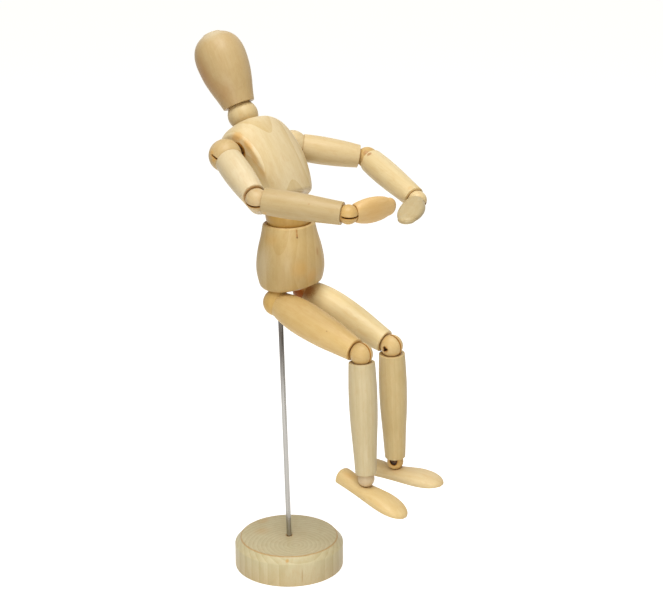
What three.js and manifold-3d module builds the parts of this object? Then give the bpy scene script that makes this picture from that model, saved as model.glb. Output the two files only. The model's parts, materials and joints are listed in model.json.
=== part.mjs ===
// A jointed wooden lay figure, seated in the air on a steel rod in a round base.
// Millimetres, +Z up, the figure faces -Y and its left side is +X.
// The origin is the middle of the base's underside.

import * as THREE from 'three';
import { mergeVertices } from 'three/addons/utils/BufferGeometryUtils.js';
import Module from 'manifold-3d';

const wasm = await Module();
wasm.setup();

// Base and rod
const baseRadius = 33;
const baseHeight = 18.5;
const baseChamferWidth = 3.5;
const baseChamferHeight = 3.9;
const rodRadius = 1.5;
const rodFootHeight = 6.5;
const rodDepthInPelvis = 15;
const rodLeanBack = 1.4;
const rodLeanRight = 0.9;

// How far apart pieces lie where they fit into each other, and how far a cutting shape overruns
const fit = 0.3;
const overrun = 2;

// Heights and spacings of the joints
const hipHeight = 155.1;
const hipSpacing = 27.1;
const hipForward = 9.1;
const waistRise = 49.9;
const shoulderRise = 40.6;
const shoulderSpacing = 59.8;
const neckRise = 63.8;
const headLength = 51.4;
const upperArmLength = 45;
const forearmLength = 52;
const handLength = 29.8;
const thighLength = 64.9;
const shinLength = 73.4;
const heelLength = 17.5;
const toeLength = 31;
const soleDrop = 10.7;

// Widths of the wooden pieces
const pelvisHalfWidth = 20.3;
const pelvisHalfDepth = 17.8;
const chestHalfWidth = 26.2;
const chestHalfDepth = 18.2;
const shoulderFlatTilt = 5;
const headRadius = 14.9;
const upperArmRadius = 8.3;
const forearmRadius = 7.7;
const handHalfWidth = 7.3;
const handHalfThickness = 4.6;
const thighRadius = 10;
const shinRadius = 8.1;
const footHalfWidth = 7.9;
const rimBevel = 0.6;

// Each kind of ball joint: its ball, the steel stem that turns in the limb before it, the tongue
// fixed in the limb after it, and how far the two limbs' flat ends lie from the ball's centre
const kinds = {
  waist: {
    ballRadius: 13.4, stemRadius: 2.4, stemReach: 12, tongueReach: 14, tongueThickness: 1.8, eyeRadius: 4,
    pinRadius: 1.6, seatBefore: 5.2, seatAfter: 9.6, kerfSides: [-52, 52],
  },
  neck: {
    ballRadius: 8.9, stemRadius: 1.7, stemReach: 9, tongueReach: 10, tongueThickness: 1.3, eyeRadius: 2.8,
    pinRadius: 1.2, seatBefore: 6.3, seatAfter: 6.3, kerfSides: [-42, 42],
  },
  shoulder: {
    ballRadius: 9.4, stemRadius: 1.7, stemReach: 10, tongueReach: 9, tongueThickness: 1.3, eyeRadius: 2.8,
    pinRadius: 1.2, seatBefore: 8.8, seatAfter: 6, kerfSides: [-120, 100],
  },
  elbow: {
    ballRadius: 6.4, stemRadius: 1.2, stemReach: 7, tongueReach: 7, tongueThickness: 1.1, eyeRadius: 2,
    pinRadius: 0.9, seatBefore: 5.1, seatAfter: 4.2, kerfSides: [-120, 80],
  },
  wrist: {
    ballRadius: 5.5, stemRadius: 1, stemReach: 6, tongueReach: 6, tongueThickness: 1, eyeRadius: 1.7,
    pinRadius: 0.8, seatBefore: 3.3, seatAfter: 3.9, kerfSides: [-120, 75],
  },
  hip: {
    ballRadius: 8, stemRadius: 1.6, stemReach: 9, tongueReach: 10, tongueThickness: 1.3, eyeRadius: 2.6,
    pinRadius: 1.2, seatBefore: 7.4, seatAfter: 5, kerfSides: [-100, 80],
  },
  knee: {
    ballRadius: 6.5, stemRadius: 1.3, stemReach: 8, tongueReach: 8, tongueThickness: 1.1, eyeRadius: 2.1,
    pinRadius: 0.9, seatBefore: 5.1, seatAfter: 5, kerfSides: [-120, 78],
  },
  ankle: {
    ballRadius: 4.8, stemRadius: 0.9, stemReach: 5, tongueReach: 4, tongueThickness: 0.9, eyeRadius: 1.5,
    pinRadius: 0.8, seatBefore: 3.2, seatAfter: 3.1, kerfSides: [-45, 50],
  },
};

// The pose, in degrees: how far each ball has turned about its stem, how far each limb has bent about its
// pin, and how far a piece is rolled on its tongue
const pose = {
  waist: { turn: 8.9, bend: 35, roll: 10.7 },
  neck: { turn: 26.4, bend: -8.8 },
  right: {
    shoulder: { turn: 29.6, bend: 69 },
    elbow: { turn: -63.2, bend: 48.4 },
    wrist: { turn: 15.3, bend: 45.2 },
    hip: { turn: 1.9, bend: 73.1 },
    knee: { turn: -3, bend: 69.9 },
    ankle: { turn: 2.9, bend: 15.8 },
  },
  left: {
    shoulder: { turn: 45.7, bend: 48.7 },
    elbow: { turn: -102.3, bend: 57.3 },
    wrist: { turn: 3.6, bend: 58.9, roll: -55 },
    hip: { turn: 1.3, bend: 69 },
    knee: { turn: -3.1, bend: 70.3 },
    ankle: { turn: 2.4, bend: -3.4 },
  },
};

// Outlines, as [share of the length, share of the radius]; the length runs from the piece's
// upper flat end to its lower one, or to the crown of the head
const upperArmShares = [[0, 0.97], [0.2, 1], [0.45, 0.99], [0.75, 0.92], [1, 0.82]];
const forearmShares = [[0, 0.95], [0.1, 0.98], [0.28, 1], [0.52, 0.97], [0.78, 0.89], [1, 0.83]];
const thighShares = [[0, 0.72], [0.08, 0.84], [0.22, 0.97], [0.38, 1], [0.6, 0.94], [0.82, 0.8], [1, 0.67]];
const shinShares = [[0, 0.92], [0.1, 0.96], [0.28, 1], [0.5, 0.97], [0.75, 0.85], [1, 0.74]];
const headShares = [
  [0, 0.63], [0.12, 0.72], [0.27, 0.85], [0.42, 0.95], [0.56, 0.995], [0.67, 1], [0.77, 0.95], [0.86, 0.83],
  [0.93, 0.63], [0.98, 0.36], [1, 0],
];

// Outlines of the blocks that aren't round, as [share of the length, share of the half width, share of the
// half depth]
const pelvisShares = [
  [0, 0.92, 0.65], [0.03, 0.95, 0.8], [0.08, 0.97, 0.9], [0.25, 1, 0.995], [0.42, 0.985, 1], [0.62, 0.91, 0.95],
  [0.82, 0.8, 0.86], [1, 0.71, 0.81],
];
const chestShares = [
  [0, 0.62, 0.84], [0.06, 0.75, 0.91], [0.22, 0.9, 0.98], [0.45, 1, 1], [0.68, 0.98, 0.95], [0.85, 0.88, 0.86],
  [0.94, 0.73, 0.76], [1, 0.52, 0.63],
];
const handShares = [
  [0, 0.72, 1], [0.12, 0.86, 0.97], [0.28, 0.97, 0.9], [0.42, 1, 0.83], [0.6, 0.93, 0.71], [0.78, 0.74, 0.55],
  [0.92, 0.45, 0.37], [1, 0.14, 0.18],
];
const blockExponent = 2.3;
const handExponent = 2.2;

// The foot seen from the side, as [share of the length from the heel, share of the height], and half of it
// seen from above, as [share of the length, share of the half width]
const footSideShares = [
  [0, 0.06], [0.02, 0], [0.92, 0], [0.985, 0.1], [1, 0.25], [0.97, 0.4], [0.84, 0.62], [0.66, 0.85], [0.52, 1],
  [0.03, 1], [0, 0.92],
];
const footPlanShares = [
  [0, 0.58], [0.04, 0.68], [0.3, 0.8], [0.55, 0.96], [0.7, 1], [0.84, 0.86], [0.94, 0.56], [1, 0.2],
];

// How finely round pieces are faceted
const ballSides = 16;
const limbSides = 16;
const blockSides = 20;
const baseSides = 36;
const steelSides = 8;
const kerfSteps = 6;
const eyeSteps = 6;

// Colours
const paleWood = 0xd9bd8b;
const warmWood = 0xe0bb7f;
const greyWood = 0xcdb48c;
const steel = 0xb9bbbd;

const wood = (color) => new THREE.MeshStandardMaterial({ color, roughness: 0.55, metalness: 0 });
const metal = () => new THREE.MeshStandardMaterial({ color: steel, roughness: 0.3, metalness: 1 });
const radians = THREE.MathUtils.degToRad;

// Corners closer together than this are one corner
const weldDistance = 1e-5;

// Turns a closed three.js geometry into a solid, and a solid into a named mesh
function solidOf(geometry) {
  geometry.deleteAttribute('normal');
  geometry.deleteAttribute('uv');
  const merged = mergeVertices(geometry, weldDistance);
  return new wasm.Manifold(new wasm.Mesh({
    numProp: 3,
    vertProperties: new Float32Array(merged.attributes.position.array),
    triVerts: new Uint32Array(merged.index.array),
  }));
}

function meshOf(name, solid, material) {
  const { vertProperties, triVerts } = solid.getMesh();
  const geometry = new THREE.BufferGeometry();
  geometry.setAttribute('position', new THREE.BufferAttribute(vertProperties, 3));
  geometry.setIndex(new THREE.BufferAttribute(triVerts, 1));
  geometry.computeVertexNormals();
  const mesh = new THREE.Mesh(geometry, material);
  mesh.name = name;
  return mesh;
}

// A round bar along Z from one height to another
function bar(radius, from, to, sides = steelSides) {
  const geometry = new THREE.CylinderGeometry(radius, radius, Math.abs(to - from), sides);
  geometry.rotateX(Math.PI / 2);
  geometry.translate(0, 0, (from + to) / 2);
  return solidOf(geometry);
}

// The hollow round a bar, with its flats clear of the bar's corners
function hollowBar(radius, from, to) {
  return bar((radius + fit) / Math.cos(Math.PI / steelSides), from, to);
}

function sphere(radius) {
  const geometry = new THREE.SphereGeometry(radius, ballSides, ballSides / 2);
  geometry.rotateX(Math.PI / 2);
  return solidOf(geometry);
}

// The hollow round a ball, with its flats clear of the ball's corners
function cup(radius) {
  return sphere((radius + fit) / Math.cos(Math.PI / ballSides) ** 2);
}

function box(width, depth, height, x, y, z) {
  const geometry = new THREE.BoxGeometry(width, depth, height);
  geometry.translate(x, y, z);
  return solidOf(geometry);
}

// A solid of revolution about Z through [radius, height] points that start and end on the axis
function turned(points, sides) {
  const outline = points.map(([radius, height]) => new THREE.Vector2(radius, height));
  const geometry = new THREE.LatheGeometry(outline, sides);
  geometry.rotateX(Math.PI / 2);
  return solidOf(geometry);
}

// A block whose level sections are rounded rectangles, from [height, half width, half depth] rows
function block(rows, exponent, sides) {
  const outline = rows.map(([height]) => new THREE.Vector2(1, height));
  outline.unshift(new THREE.Vector2(0, rows[0][0]));
  outline.push(new THREE.Vector2(0, rows[rows.length - 1][0]));
  const geometry = new THREE.LatheGeometry(outline, sides);
  geometry.rotateX(Math.PI / 2);
  const places = geometry.attributes.position;
  const perColumn = outline.length;
  for (let i = 0; i < places.count; i += 1) {
    const row = i % perColumn;
    if (row === 0 || row === perColumn - 1) continue;
    const [, halfWidth, halfDepth] = rows[row - 1];
    const angle = Math.atan2(places.getY(i), places.getX(i));
    const across = Math.abs(Math.cos(angle));
    const along = Math.abs(Math.sin(angle));
    const reach = (across ** exponent + along ** exponent) ** (-1 / exponent);
    places.setX(i, halfWidth * reach * Math.cos(angle));
    places.setY(i, halfDepth * reach * Math.sin(angle));
  }
  return solidOf(geometry);
}

// An outline of [a, b] points pushed out along a third direction, centred on it
function plate(points, thickness, turnToPlace) {
  const outline = new THREE.Shape(points.map(([a, b]) => new THREE.Vector2(a, b)));
  const geometry = new THREE.ExtrudeGeometry(outline, { depth: thickness, bevelEnabled: false });
  geometry.translate(0, 0, -thickness / 2);
  geometry.applyMatrix4(turnToPlace);
  return solidOf(geometry);
}

// An outline drawn in Y and Z lies in the middle plane of a joint, and one drawn in Y and X lies level
const uprightPlane = new THREE.Matrix4().set(0, 0, 1, 0, 1, 0, 0, 0, 0, 1, 0, 0, 0, 0, 0, 1);
const levelPlane = new THREE.Matrix4().set(0, 1, 0, 0, 1, 0, 0, 0, 0, 0, -1, 0, 0, 0, 0, 1);

function placed(solid, matrix) {
  return solid.transform([...matrix.elements]);
}

function moved(x, y, z, matrix = new THREE.Matrix4()) {
  return new THREE.Matrix4().makeTranslation(x, y, z).multiply(matrix);
}

const turnedOver = new THREE.Matrix4().makeRotationX(Math.PI);

// What a limb loses where a ball sits in its end: a shallow cup and the bore for the stem. The limb lies
// on the +Z side of the ball.
function seatBefore(kind) {
  const bore = hollowBar(kind.stemRadius, 0, kind.ballRadius + kind.stemReach + fit);
  return cup(kind.ballRadius).add(bore);
}

// What the limb after a ball loses: a shallow cup and the mortise for the tongue, on the -Z side
function seatAfter(kind, roll = 0) {
  const depth = kind.seatAfter + kind.tongueReach + fit;
  const width = kind.tongueThickness + 2 * fit;
  const mortise = box(width, 2 * (kind.eyeRadius + fit), depth, 0, 0, -depth / 2);
  return cup(kind.ballRadius).add(placed(mortise, new THREE.Matrix4().makeRotationZ(radians(roll))));
}

// The saw kerf that a tongue swings in, between the two angles of kerfSides. Angles run from the limb's
// straight line; way is 1 where the limb bends towards -Y and -1 where it bends towards +Y.
function kerfSolid(kind, way) {
  const [from, to] = kind.kerfSides.map(radians);
  const width = kind.tongueThickness + 2 * fit;
  const halfSlot = kind.eyeRadius + fit;
  const length = kind.ballRadius + overrun;
  const place = (angle, along, across) => [
    -way * (along * Math.sin(angle) + across * Math.cos(angle)), across * Math.sin(angle) - along * Math.cos(angle),
  ];
  const fan = [[0, 0]];
  for (let i = 0; i <= kerfSteps; i += 1) {
    fan.push(place(from + (to - from) * (i / kerfSteps), 2 * length, 0));
  }
  const sideways = new THREE.Matrix4().makeRotationY(Math.PI / 2);
  const eye = bar(halfSlot / Math.cos(Math.PI / steelSides), -width / 2, width / 2);
  let solid = plate(fan, width, uprightPlane).add(placed(eye, sideways));
  for (const angle of [from, to]) {
    const slot = [
      place(angle, 0, -halfSlot), place(angle, length, -halfSlot), place(angle, length, halfSlot),
      place(angle, 0, halfSlot),
    ];
    solid = solid.add(plate(slot, width, uprightPlane));
  }
  return solid;
}

// The wooden ball with its kerf, its stem bore and its pin bore
function ballSolid(kind, way) {
  const length = kind.ballRadius + overrun;
  const stemBore = hollowBar(kind.stemRadius, kind.eyeRadius + 2 * fit, length);
  const pinBore = placed(hollowBar(kind.pinRadius, -length, length), new THREE.Matrix4().makeRotationY(Math.PI / 2));
  return sphere(kind.ballRadius).subtract(kerfSolid(kind, way)).subtract(stemBore).subtract(pinBore);
}

function stemSolid(kind) {
  return bar(kind.stemRadius, kind.eyeRadius + 3 * fit, kind.ballRadius + kind.stemReach);
}

// The flat tongue with its round eye, and the cross pin pressed through the eye
function tongueSolid(kind) {
  const outline = [];
  for (let i = 0; i <= eyeSteps; i += 1) {
    const angle = Math.PI * (i / eyeSteps);
    outline.push([kind.eyeRadius * Math.cos(angle), kind.eyeRadius * Math.sin(angle)]);
  }
  const foot = kind.seatAfter + kind.tongueReach;
  outline.push([-kind.eyeRadius, -foot], [kind.eyeRadius, -foot]);
  const flat = plate(outline, kind.tongueThickness, uprightPlane);
  const halfPin = kind.ballRadius - fit;
  const pin = placed(bar(kind.pinRadius, -halfPin, halfPin), new THREE.Matrix4().makeRotationY(Math.PI / 2));
  return flat.add(pin);
}

// Adds one ball joint to a group and gives back the group of the limb after it. In the mounting frame
// the limb before lies towards +Z and the limb after hangs towards -Z; turnWay says which way round the
// stem counts as positive.
function addJoint(before, name, kind, { turn, bend, roll = 0 }, { way = 1, turnWay = 1, at, mounting }, material) {
  const mount = new THREE.Group();
  mount.position.copy(at);
  if (mounting) mount.quaternion.copy(mounting);
  const turning = new THREE.Group();
  turning.name = `${name}_turn`;
  turning.rotation.z = turnWay * radians(turn);
  turning.userData.axis = [0, 0, turnWay];
  const bending = new THREE.Group();
  bending.name = `${name}_bend`;
  bending.rotation.x = -way * radians(bend);
  bending.userData.axis = [-way, 0, 0];
  turning.add(meshOf(`${name}_ball`, ballSolid(kind, way), material));
  turning.add(meshOf(`${name}_stem`, stemSolid(kind), metal()));
  bending.add(meshOf(`${name}_tongue`, tongueSolid(kind), metal()));
  const limbAfter = new THREE.Group();
  limbAfter.rotation.z = -radians(roll);
  bending.add(limbAfter);
  turning.add(bending);
  mount.add(turning);
  before.add(mount);
  return limbAfter;
}

// A round limb that hangs from the ball of one kind of joint and carries the next
function limb(shares, radius, length, start, end) {
  const top = -start.seatAfter;
  const bottom = end.seatBefore - length;
  const rows = shares.map(([share, radiusShare]) => [radius * radiusShare, top + (bottom - top) * share]);
  const [first, last] = [rows[0], rows[rows.length - 1]];
  const points = [
    [0, bottom], [last[0] - rimBevel, bottom], [last[0], bottom + rimBevel],
    ...rows.slice(1, -1).reverse(),
    [first[0], top - rimBevel], [first[0] - rimBevel, top], [0, top],
  ];
  return turned(points, limbSides)
    .subtract(seatAfter(start))
    .subtract(placed(seatBefore(end), moved(0, 0, -length)));
}

function handSolid(roll) {
  const { wrist } = kinds;
  const top = -wrist.seatAfter;
  const rows = handShares.map(([share, width, depth]) => [
    top + (-handLength - top) * share, handHalfWidth * width, handHalfThickness * depth,
  ]);
  return block(rows.reverse(), handExponent, limbSides).subtract(seatAfter(wrist, roll));
}

function footSolid() {
  const { ankle } = kinds;
  const height = soleDrop - ankle.seatAfter;
  const length = heelLength + toeLength;
  const side = footSideShares.map(([along, up]) => [heelLength - length * along, height * up - soleDrop]);
  const right = footPlanShares.map(([along, across]) => [heelLength - length * along, -footHalfWidth * across]);
  const left = right.map(([y, x]) => [y, -x]).reverse();
  const upright = plate(side, 2 * (footHalfWidth + overrun), uprightPlane);
  const level = plate([...right, ...left], 2 * (soleDrop + overrun), levelPlane);
  return upright.intersect(level).subtract(seatAfter(ankle));
}

function pelvisSolid() {
  const { hip, waist } = kinds;
  const bottom = hip.seatBefore;
  const top = waistRise - waist.seatBefore;
  const rows = pelvisShares.map(([share, width, depth]) => [
    bottom + (top - bottom) * share, pelvisHalfWidth * width, pelvisHalfDepth * depth,
  ]);
  let solid = block(rows, blockExponent, blockSides)
    .subtract(placed(seatBefore(waist), moved(0, 0, waistRise, turnedOver)))
    .subtract(placed(hollowBar(rodRadius, bottom - overrun, bottom + rodDepthInPelvis + fit), moved(0, hipForward, 0)));
  for (const side of [-1, 1]) {
    solid = solid.subtract(placed(seatBefore(hip), moved(side * hipSpacing / 2, 0, 0)));
  }
  return solid;
}

const mountings = {};
for (const side of [-1, 1]) {
  const towardsChest = new THREE.Matrix4().makeRotationZ(-side * Math.PI / 2);
  towardsChest.multiply(new THREE.Matrix4().makeRotationX(Math.PI / 2));
  mountings[side] = towardsChest;
}

function chestSolid() {
  const { waist, neck, shoulder } = kinds;
  const bottom = waist.seatAfter;
  const top = neckRise - neck.seatBefore;
  const rows = chestShares.map(([share, width, depth]) => [
    bottom + (top - bottom) * share, chestHalfWidth * width, chestHalfDepth * depth,
  ]);
  let solid = block(rows, blockExponent, blockSides)
    .subtract(placed(seatAfter(waist, pose.waist.roll), turnedOver))
    .subtract(placed(seatBefore(neck), moved(0, 0, neckRise, turnedOver)));
  const flatPlace = shoulderSpacing / 2 - shoulder.seatBefore;
  for (const side of [-1, 1]) {
    const outward = box(chestHalfWidth, 2 * (chestHalfDepth + overrun), 2 * neckRise, side * chestHalfWidth / 2, 0, 0);
    const tilt = new THREE.Matrix4().makeRotationY(side * radians(shoulderFlatTilt));
    solid = solid
      .subtract(placed(outward, moved(side * flatPlace, 0, shoulderRise, tilt)))
      .subtract(placed(seatBefore(shoulder), moved(side * shoulderSpacing / 2, 0, shoulderRise, mountings[side])));
  }
  return solid;
}

function headSolid() {
  const { neck } = kinds;
  const bottom = neck.seatAfter;
  const rows = headShares.map(([share, radiusShare]) => [
    headRadius * radiusShare, bottom + (headLength - bottom) * share,
  ]);
  const points = [
    [0, bottom], [rows[0][0] - rimBevel, bottom], [rows[0][0], bottom + rimBevel], ...rows.slice(1),
  ];
  return turned(points, blockSides).subtract(placed(seatAfter(neck), turnedOver));
}

// The stand: the base and the rod, which leans a little in its bore
const figure = new THREE.Group();
const rodFrame = new THREE.Group();
rodFrame.position.set(0, 0, baseHeight);
rodFrame.rotation.set(-radians(rodLeanBack), -radians(rodLeanRight), 0);
rodFrame.updateMatrix();

const rodBottom = rodFootHeight - baseHeight;
const baseSolid = turned([
  [0, 0], [baseRadius, 0], [baseRadius, baseHeight - baseChamferHeight],
  [baseRadius - baseChamferWidth, baseHeight], [0, baseHeight],
], baseSides).subtract(placed(hollowBar(rodRadius, rodBottom - fit, overrun), rodFrame.matrix));
figure.add(meshOf('base_disc', baseSolid, wood(greyWood)));
figure.add(rodFrame);

const rodTop = hipHeight + kinds.hip.seatBefore + rodDepthInPelvis;
rodFrame.add(meshOf('support_rod', bar(rodRadius, rodBottom, rodTop), metal()));

// The pelvis turns on the rod; its own frame has its origin between the hips
const swivel = new THREE.Group();
swivel.name = 'pelvis_swivel';
swivel.userData.axis = [0, 0, 1];
swivel.position.set(0, 0, hipHeight);
rodFrame.add(swivel);
const pelvis = new THREE.Group();
pelvis.position.set(0, -hipForward, 0);
pelvis.add(meshOf('pelvis', pelvisSolid(), wood(paleWood)));
swivel.add(pelvis);

// Pieces above a joint are built upwards, so their frames are turned over in the joint's frame
const overTurn = new THREE.Quaternion().setFromRotationMatrix(turnedOver);
function upwards(group) {
  const frame = new THREE.Group();
  frame.quaternion.copy(overTurn);
  group.add(frame);
  return frame;
}

const waistPlace = { at: new THREE.Vector3(0, 0, waistRise), mounting: overTurn };
const chest = upwards(addJoint(pelvis, 'waist', kinds.waist, pose.waist, waistPlace, wood(paleWood)));
chest.add(meshOf('chest', chestSolid(), wood(paleWood)));

const neckPlace = { at: new THREE.Vector3(0, 0, neckRise), mounting: overTurn };
const head = upwards(addJoint(chest, 'neck', kinds.neck, pose.neck, neckPlace, wood(paleWood)));
head.add(meshOf('head', headSolid(), wood(paleWood)));

for (const [sideName, side] of [['right', -1], ['left', 1]]) {
  const bends = pose[sideName];
  const turnedSideways = new THREE.Quaternion().setFromRotationMatrix(mountings[side]);
  const turnedForward = new THREE.Quaternion().setFromAxisAngle(new THREE.Vector3(0, 0, 1), side * Math.PI / 2);

  const shoulderPlace = new THREE.Vector3(side * shoulderSpacing / 2, 0, shoulderRise);
  const upperArm = addJoint(chest, `${sideName}_shoulder`, kinds.shoulder, bends.shoulder, {
    at: shoulderPlace, mounting: turnedSideways, turnWay: side,
  }, wood(paleWood));
  const upperArmSolid = limb(upperArmShares, upperArmRadius, upperArmLength, kinds.shoulder, kinds.elbow);
  upperArm.add(meshOf(`${sideName}_upper_arm`, upperArmSolid, wood(paleWood)));

  const forearm = addJoint(upperArm, `${sideName}_elbow`, kinds.elbow, bends.elbow, {
    at: new THREE.Vector3(0, 0, -upperArmLength), mounting: turnedForward, turnWay: side,
  }, wood(paleWood));
  const forearmSolid = limb(forearmShares, forearmRadius, forearmLength, kinds.elbow, kinds.wrist);
  forearm.add(meshOf(`${sideName}_forearm`, forearmSolid, wood(paleWood)));

  const hand = addJoint(forearm, `${sideName}_wrist`, kinds.wrist, bends.wrist, {
    at: new THREE.Vector3(0, 0, -forearmLength), turnWay: -side,
  }, wood(paleWood));
  hand.add(meshOf(`${sideName}_hand`, handSolid(bends.wrist.roll), wood(paleWood)));

  const thigh = addJoint(pelvis, `${sideName}_hip`, kinds.hip, bends.hip, {
    at: new THREE.Vector3(side * hipSpacing / 2, 0, 0), turnWay: side,
  }, wood(paleWood));
  const thighSolid = limb(thighShares, thighRadius, thighLength, kinds.hip, kinds.knee);
  thigh.add(meshOf(`${sideName}_thigh`, thighSolid, wood(warmWood)));

  const shin = addJoint(thigh, `${sideName}_knee`, kinds.knee, bends.knee, {
    at: new THREE.Vector3(0, 0, -thighLength), way: -1, turnWay: side,
  }, wood(warmWood));
  const shinSolid = limb(shinShares, shinRadius, shinLength, kinds.knee, kinds.ankle);
  shin.add(meshOf(`${sideName}_shin`, shinSolid, wood(greyWood)));

  const foot = addJoint(shin, `${sideName}_ankle`, kinds.ankle, bends.ankle, {
    at: new THREE.Vector3(0, 0, -shinLength), way: -1, turnWay: side,
  }, wood(greyWood));
  foot.add(meshOf(`${sideName}_foot`, footSolid(), wood(warmWood)));
}

export default figure;
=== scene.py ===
# A jointed wooden lay figure, seated in the air on a steel rod in a round wooden base.
# The dictionaries hold millimetres and degrees, the meshes are made in metres.
# A limb hangs from its joint along -Z in its own frame, and swings about the joint's X.
import json
import math

import bmesh
import bpy
from mathutils import Matrix, Vector


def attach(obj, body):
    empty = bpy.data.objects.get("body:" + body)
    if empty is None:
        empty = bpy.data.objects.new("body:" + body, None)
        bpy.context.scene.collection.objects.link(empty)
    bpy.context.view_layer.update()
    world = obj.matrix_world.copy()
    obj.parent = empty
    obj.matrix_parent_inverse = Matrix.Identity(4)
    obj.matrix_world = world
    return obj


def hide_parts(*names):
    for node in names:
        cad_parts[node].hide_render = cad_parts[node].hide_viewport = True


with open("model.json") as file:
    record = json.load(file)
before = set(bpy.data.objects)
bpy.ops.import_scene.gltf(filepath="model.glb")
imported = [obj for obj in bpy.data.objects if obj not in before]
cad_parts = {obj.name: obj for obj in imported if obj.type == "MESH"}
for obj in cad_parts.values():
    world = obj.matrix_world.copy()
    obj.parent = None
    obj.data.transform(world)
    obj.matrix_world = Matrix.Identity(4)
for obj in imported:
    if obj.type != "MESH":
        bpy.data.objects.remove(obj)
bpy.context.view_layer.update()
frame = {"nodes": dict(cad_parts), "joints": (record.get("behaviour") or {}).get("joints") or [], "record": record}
joints = {joint["name"]: joint for joint in frame["joints"]}
bodyOfNode = {node: body for body, nodes in frame["record"]["behaviour"]["bodies"].items() for node in nodes}
mm = 0.001

# Camera

photoWidth = 663
cameraPlace = {
    "bearing": -140.582,     # where it stands round the base
    "distance": 995.9,
    "height": 495.2,
    "turnRight": 1.49,       # away from the base
    "lookDown": 18.106,
    "focalPixels": 1789.67,
    "sensorWidth": 36,
}


def makeCamera(place):
    bearing = math.radians(place["bearing"])
    heading = bearing + math.pi - math.radians(place["turnRight"])
    pitch = math.radians(place["lookDown"])
    level = math.cos(pitch)
    forward = Vector((math.cos(heading) * level, math.sin(heading) * level, -math.sin(pitch)))
    reach = place["distance"]
    data = bpy.data.cameras.new("photoCamera")
    data.sensor_width = place["sensorWidth"]
    data.lens = place["focalPixels"] / photoWidth * data.sensor_width
    camera = bpy.data.objects.new("photoCamera", data)
    camera.location = Vector((reach * math.cos(bearing), reach * math.sin(bearing), place["height"])) * mm
    camera.rotation_mode = "QUATERNION"
    camera.rotation_quaternion = forward.to_track_quat("-Z", "Y")
    bpy.context.scene.collection.objects.link(camera)
    bpy.context.scene.camera = camera


makeCamera(cameraPlace)
print("camera placed")

# The ball joints. The seats say how far the flat ends of the two limbs lie from the ball's centre,
# and the flares how much wider the mouths of their cups are.

ballKinds = {
    "waist": {
        "radius": 13.4, "seatBefore": 5.2, "seatAfter": 9.6, "flareBefore": 0.9, "flareAfter": 0.2,
        "stemRadius": 2.4, "stemReach": 12, "tongueReach": 14, "eyeRadius": 4, "pinRadius": 1.6,
        "kerf": (-52, 52), "kerfWidth": 1.4, "wood": "paleWood",
    },
    "neck": {
        "radius": 8.9, "seatBefore": 6.3, "seatAfter": 6.3, "flareBefore": 0.1, "flareAfter": 0.3,
        "stemRadius": 1.7, "stemReach": 9, "tongueReach": 10, "eyeRadius": 2.8, "pinRadius": 1.2,
        "kerf": (-42, 42), "kerfWidth": 1, "wood": "paleWood",
    },
    "shoulder": {
        "radius": 9.4, "seatBefore": 8.8, "seatAfter": 6, "flareBefore": 0, "flareAfter": 0,
        "stemRadius": 1.7, "stemReach": 10, "tongueReach": 9, "eyeRadius": 2.8, "pinRadius": 1.2,
        "kerf": (-16, 100), "kerfWidth": 0.8, "wood": "paleWood",
    },
    "elbow": {
        "radius": 6.4, "seatBefore": 5.1, "seatAfter": 4.2, "flareBefore": 2.3, "flareAfter": 0.1,
        "stemRadius": 1.2, "stemReach": 7, "tongueReach": 7, "eyeRadius": 2, "pinRadius": 0.9,
        "kerf": (-120, 80), "kerfWidth": 1, "wood": "paleWood",
    },
    "wrist": {
        "radius": 5.5, "seatBefore": 3.3, "seatAfter": 3.9, "flareBefore": 0.3, "flareAfter": 0,
        "stemRadius": 1, "stemReach": 6, "tongueReach": 6, "eyeRadius": 1.7, "pinRadius": 0.8,
        "kerf": (-120, 75), "kerfWidth": 0.8, "wood": "paleWood",
    },
    "hip": {
        "radius": 8, "seatBefore": 7.4, "seatAfter": 3.7, "flareBefore": 0, "flareAfter": 0.3,
        "stemRadius": 1.6, "stemReach": 9, "tongueReach": 10, "eyeRadius": 2.6, "pinRadius": 1.2,
        "kerf": (-100, 80), "kerfWidth": 0.9, "wood": "paleWood",
    },
    "knee": {
        "radius": 6.5, "seatBefore": 5.1, "seatAfter": 4.7, "flareBefore": 1.5, "flareAfter": 1.2,
        "stemRadius": 1.3, "stemReach": 8, "tongueReach": 8, "eyeRadius": 2.1, "pinRadius": 0.9,
        "kerf": (-120, 78), "kerfWidth": 0.7, "wood": "warmWood",
    },
    "ankle": {
        "radius": 4.8, "seatBefore": 3.2, "seatAfter": 3.1, "flareBefore": 0.2, "flareAfter": 0.1,
        "stemRadius": 0.9, "stemReach": 5, "tongueReach": 4, "eyeRadius": 1.5, "pinRadius": 0.8,
        "kerf": (-45, 50), "kerfWidth": 0.6, "wood": "greyWood",
    },
}

# How far each limb is bent in the pose that the frame is packed in
restBends = {
    "waist": 35, "neck": -8.8,
    "right_shoulder": 69, "right_elbow": 48.4, "right_wrist": 45.2,
    "right_hip": 73.1, "right_knee": 69.9, "right_ankle": 15.8,
    "left_shoulder": 48.7, "left_elbow": 57.3, "left_wrist": 58.9,
    "left_hip": 69, "left_knee": 70.3, "left_ankle": -3.4,
}
cupGap = 0.15
sides = ("right", "left")


def kindOf(jointName):
    name = jointName.split("_")[-1]
    return {"name": name, **ballKinds[name]}


def bendWay(jointName):
    return -1 if jointName.endswith(("knee", "ankle")) else 1


def turnWay(jointName):
    if not jointName.startswith(sides):
        return 1
    side = -1 if jointName.startswith("right") else 1
    return -side if jointName.endswith("wrist") else side


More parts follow.
